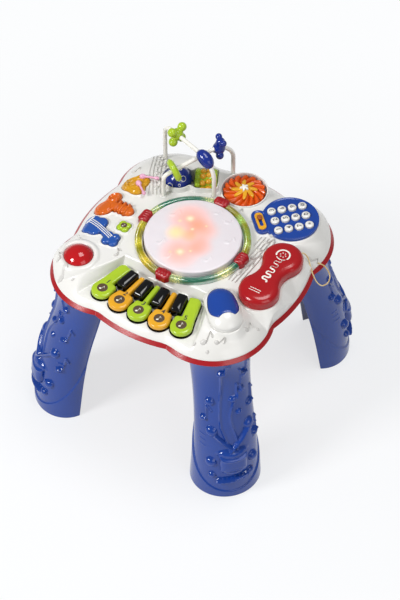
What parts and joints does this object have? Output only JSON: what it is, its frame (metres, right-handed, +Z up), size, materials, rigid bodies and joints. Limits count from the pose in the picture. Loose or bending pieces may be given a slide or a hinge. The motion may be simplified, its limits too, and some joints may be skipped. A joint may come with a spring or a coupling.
{
  "type": "musical activity table",
  "caption": "Children's activity table with a drum, piano keys, telephone, keypad, spinners and a bead maze on four plug-in legs.",
  "frame": {"origin": "on the floor, under the middle of the deck", "axes": "+Z up; the piano faces -Y, the telephone handset is on +X"},
  "size_m": [0.4386, 0.4386, 0.428],
  "materials": {
    "black_abs": "gloss",
    "blue_abs": "gloss",
    "board": "matte",
    "brown_abs": "gloss",
    "cell": "satin",
    "cone_paper": "matte",
    "cord": "woven",
    "keypad_blue": "gloss",
    "lime_abs": "gloss",
    "orange_abs": "gloss",
    "pad_translucent": "satin",
    "pink_abs": "gloss",
    "red_abs": "gloss",
    "ring_green": "gloss",
    "ring_yellow": "gloss",
    "steel": "brushed",
    "switch": "matte",
    "tube_white": "gloss",
    "white_abs": "gloss",
    "yellow_abs": "gloss"
  },
  "bodies": {
    "table": {"deck_shell": "white_abs", "base_shell": "red_abs", "batteries": "cell", "circuit_boards": "board", "switches": "switch", "speaker": "cone_paper", "case_screws": "steel", "ring_yellow": "ring_yellow", "ring_green": "ring_green", "ring_clips": "red_abs", "black_keys": "black_abs", "mouse_housing": "white_abs", "keypad_panel": "keypad_blue", "slider_plate": "yellow_abs", "handset_cord": "cord", "maze_tube_lower": "tube_white", "maze_tube_upper": "tube_white"},
    "drum": {"drum_pad": "pad_translucent"},
    "red_dome": {"red_button": "red_abs"},
    "guitar": {"guitar_button": "blue_abs", "guitar_strings": "white_abs"},
    "trumpet": {"trumpet_button": "orange_abs"},
    "snare": {"snare_button": "yellow_abs", "drumsticks": "pink_abs"},
    "flower": {"flower_button": "lime_abs"},
    "mouse": {"mouse_button": "keypad_blue"},
    "handset": {"handset_top": "red_abs", "handset_bottom": "red_abs"},
    "power": {"power_slider": "brown_abs"},
    "spinner": {"spinner_wheel": "orange_abs", "spinner_star": "yellow_abs"},
    "ball": {"spin_ball": "keypad_blue"},
    "roller": {"bumpy_roller": "lime_abs"},
    "disc_bead": {"bead_disc": "lime_abs"},
    "bean_bead": {"bead_bean": "keypad_blue"},
    "lobed_bead": {"bead_lobes": "keypad_blue"},
    "clover_bead": {"bead_clover": "lime_abs"},
    "door": {"battery_door": "red_abs"},
    "piano_1": {"key_1": "lime_abs"},
    "piano_2": {"key_2": "yellow_abs"},
    "piano_3": {"key_3": "lime_abs"},
    "piano_4": {"key_4": "yellow_abs"},
    "piano_5": {"key_5": "lime_abs"},
    "phone_1": {"cap_1": "white_abs"},
    "phone_2": {"cap_2": "white_abs"},
    "phone_3": {"cap_3": "white_abs"},
    "phone_4": {"cap_4": "white_abs"},
    "phone_5": {"cap_5": "white_abs"},
    "phone_6": {"cap_6": "white_abs"},
    "phone_7": {"cap_7": "white_abs"},
    "phone_8": {"cap_8": "white_abs"},
    "phone_9": {"cap_9": "white_abs"},
    "phone_star": {"cap_star": "white_abs"},
    "phone_0": {"cap_0": "white_abs"},
    "phone_hash": {"cap_hash": "white_abs"},
    "front_left_leg": {"leg_front_left": "blue_abs"},
    "front_right_leg": {"leg_front_right": "blue_abs"},
    "back_right_leg": {"leg_back_right": "blue_abs"},
    "back_left_leg": {"leg_back_left": "blue_abs"}
  },
  "joints": [
    {"name": "drum_press", "type": "slide", "parent": "table", "child": "drum", "axis": [0, 0, -1], "range_m": [0, 0.003], "stiffness_N_per_m": 1500, "springref_m": -0.002},
    {"name": "red_press", "type": "slide", "parent": "table", "child": "red_dome", "axis": [0, 0, -1], "range_m": [0, 0.0025], "stiffness_N_per_m": 400, "springref_m": -0.002},
    {"name": "guitar_press", "type": "slide", "parent": "table", "child": "guitar", "axis": [0, 0, -1], "range_m": [0, 0.0025], "stiffness_N_per_m": 400, "springref_m": -0.002},
    {"name": "trumpet_press", "type": "slide", "parent": "table", "child": "trumpet", "axis": [0, 0, -1], "range_m": [0, 0.0025], "stiffness_N_per_m": 400, "springref_m": -0.002},
    {"name": "snare_press", "type": "slide", "parent": "table", "child": "snare", "axis": [0, 0, -1], "range_m": [0, 0.0025], "stiffness_N_per_m": 400, "springref_m": -0.002},
    {"name": "flower_press", "type": "slide", "parent": "table", "child": "flower", "axis": [0, 0, -1], "range_m": [0, 0.0025], "stiffness_N_per_m": 400, "springref_m": -0.002},
    {"name": "mouse_press", "type": "slide", "parent": "table", "child": "mouse", "axis": [0, 0, -1], "range_m": [0, 0.0015], "stiffness_N_per_m": 400, "springref_m": -0.002},
    {"name": "phone_1_press", "type": "slide", "parent": "table", "child": "phone_1", "axis": [0, 0, -1], "range_m": [0, 0.002], "stiffness_N_per_m": 150, "springref_m": -0.002},
    {"name": "phone_2_press", "type": "slide", "parent": "table", "child": "phone_2", "axis": [0, 0, -1], "range_m": [0, 0.002], "stiffness_N_per_m": 150, "springref_m": -0.002},
    {"name": "phone_3_press", "type": "slide", "parent": "table", "child": "phone_3", "axis": [0, 0, -1], "range_m": [0, 0.002], "stiffness_N_per_m": 150, "springref_m": -0.002},
    {"name": "phone_4_press", "type": "slide", "parent": "table", "child": "phone_4", "axis": [0, 0, -1], "range_m": [0, 0.002], "stiffness_N_per_m": 150, "springref_m": -0.002},
    {"name": "phone_5_press", "type": "slide", "parent": "table", "child": "phone_5", "axis": [0, 0, -1], "range_m": [0, 0.002], "stiffness_N_per_m": 150, "springref_m": -0.002},
    {"name": "phone_6_press", "type": "slide", "parent": "table", "child": "phone_6", "axis": [0, 0, -1], "range_m": [0, 0.002], "stiffness_N_per_m": 150, "springref_m": -0.002},
    {"name": "phone_7_press", "type": "slide", "parent": "table", "child": "phone_7", "axis": [0, 0, -1], "range_m": [0, 0.002], "stiffness_N_per_m": 150, "springref_m": -0.002},
    {"name": "phone_8_press", "type": "slide", "parent": "table", "child": "phone_8", "axis": [0, 0, -1], "range_m": [0, 0.002], "stiffness_N_per_m": 150, "springref_m": -0.002},
    {"name": "phone_9_press", "type": "slide", "parent": "table", "child": "phone_9", "axis": [0, 0, -1], "range_m": [0, 0.002], "stiffness_N_per_m": 150, "springref_m": -0.002},
    {"name": "phone_star_press", "type": "slide", "parent": "table", "child": "phone_star", "axis": [0, 0, -1], "range_m": [0, 0.002], "stiffness_N_per_m": 150, "springref_m": -0.002},
    {"name": "phone_0_press", "type": "slide", "parent": "table", "child": "phone_0", "axis": [0, 0, -1], "range_m": [0, 0.002], "stiffness_N_per_m": 150, "springref_m": -0.002},
    {"name": "phone_hash_press", "type": "slide", "parent": "table", "child": "phone_hash", "axis": [0, 0, -1], "range_m": [0, 0.002], "stiffness_N_per_m": 150, "springref_m": -0.002},
    {"name": "piano_1_press", "type": "hinge", "parent": "table", "child": "piano_1", "pos_m": [-0.06193, -0.1064, 0.322], "axis": [0.9703, -0.2419, 0], "range_deg": [0, 2.5], "stiffness_Nm_per_rad": 0.4, "springref_deg": -4.58},
    {"name": "piano_2_press", "type": "hinge", "parent": "table", "child": "piano_2", "pos_m": [-0.0312, -0.11209, 0.322], "axis": [0.9925, -0.1219, 0], "range_deg": [0, 2.5], "stiffness_Nm_per_rad": 0.4, "springref_deg": -4.58},
    {"name": "piano_3_press", "type": "hinge", "parent": "table", "child": "piano_3", "pos_m": [0, -0.114, 0.322], "axis": [1, 0, 0], "range_deg": [0, 2.5], "stiffness_Nm_per_rad": 0.4, "springref_deg": -4.58},
    {"name": "piano_4_press", "type": "hinge", "parent": "table", "child": "piano_4", "pos_m": [0.0312, -0.11209, 0.322], "axis": [0.9925, 0.1219, 0], "range_deg": [0, 2.5], "stiffness_Nm_per_rad": 0.4, "springref_deg": -4.58},
    {"name": "piano_5_press", "type": "hinge", "parent": "table", "child": "piano_5", "pos_m": [0.06193, -0.1064, 0.322], "axis": [0.9703, 0.2419, 0], "range_deg": [0, 2.5], "stiffness_Nm_per_rad": 0.4, "springref_deg": -4.58},
    {"name": "power_slide", "type": "slide", "parent": "table", "child": "power", "axis": [0.7071, -0.7071, 0], "range_m": [0, 0.012]},
    {"name": "handset_lift", "type": "slide", "parent": "table", "child": "handset", "axis": [0, 0, 1], "range_m": [0, 0.06], "deforming": ["handset_cord"]},
    {"name": "spinner_spin", "type": "hinge", "parent": "table", "child": "spinner", "pos_m": [0.014, 0.143, 0.333], "axis": [0, 0, 1], "continuous": true},
    {"name": "ball_spin", "type": "hinge", "parent": "table", "child": "ball", "pos_m": [-0.07, 0.116, 0.336], "axis": [0.891, 0.454, 0], "continuous": true},
    {"name": "roller_spin", "type": "hinge", "parent": "table", "child": "roller", "pos_m": [-0.07, 0.116, 0.336], "axis": [0.891, 0.454, 0], "continuous": true},
    {"name": "disc_bead_slide", "type": "slide", "parent": "table", "child": "disc_bead", "axis": [0.5452, 0.7917, 0.2756], "range_m": [-0.003, 0.018]},
    {"name": "bean_bead_slide", "type": "hinge", "parent": "table", "child": "bean_bead", "pos_m": [-0.05923, 0.11647, 0.371], "axis": [0.3019, 0.9533, 0], "range_deg": [-2, 40]},
    {"name": "lobed_bead_slide", "type": "hinge", "parent": "table", "child": "lobed_bead", "pos_m": [-0.04328, 0.142, 0.36983], "axis": [-0.8236, 0.5672, 0], "range_deg": [-8, 40]},
    {"name": "clover_bead_slide", "type": "slide", "parent": "table", "child": "clover_bead", "axis": [0.9533, -0.3019, 0], "range_m": [-0.002, 0.03]},
    {"name": "front_left_leg_pull", "type": "slide", "parent": "table", "child": "front_left_leg", "axis": [0, 0, -1], "range_m": [0, 0.03]},
    {"name": "front_right_leg_pull", "type": "slide", "parent": "table", "child": "front_right_leg", "axis": [0, 0, -1], "range_m": [0, 0.03]},
    {"name": "back_right_leg_pull", "type": "slide", "parent": "table", "child": "back_right_leg", "axis": [0, 0, -1], "range_m": [0, 0.03]},
    {"name": "back_left_leg_pull", "type": "slide", "parent": "table", "child": "back_left_leg", "axis": [0, 0, -1], "range_m": [0, 0.03]},
    {"name": "battery_door_lift", "type": "slide", "parent": "table", "child": "door", "axis": [0, 0, -1], "range_m": [0, 0.02]}
  ]
}
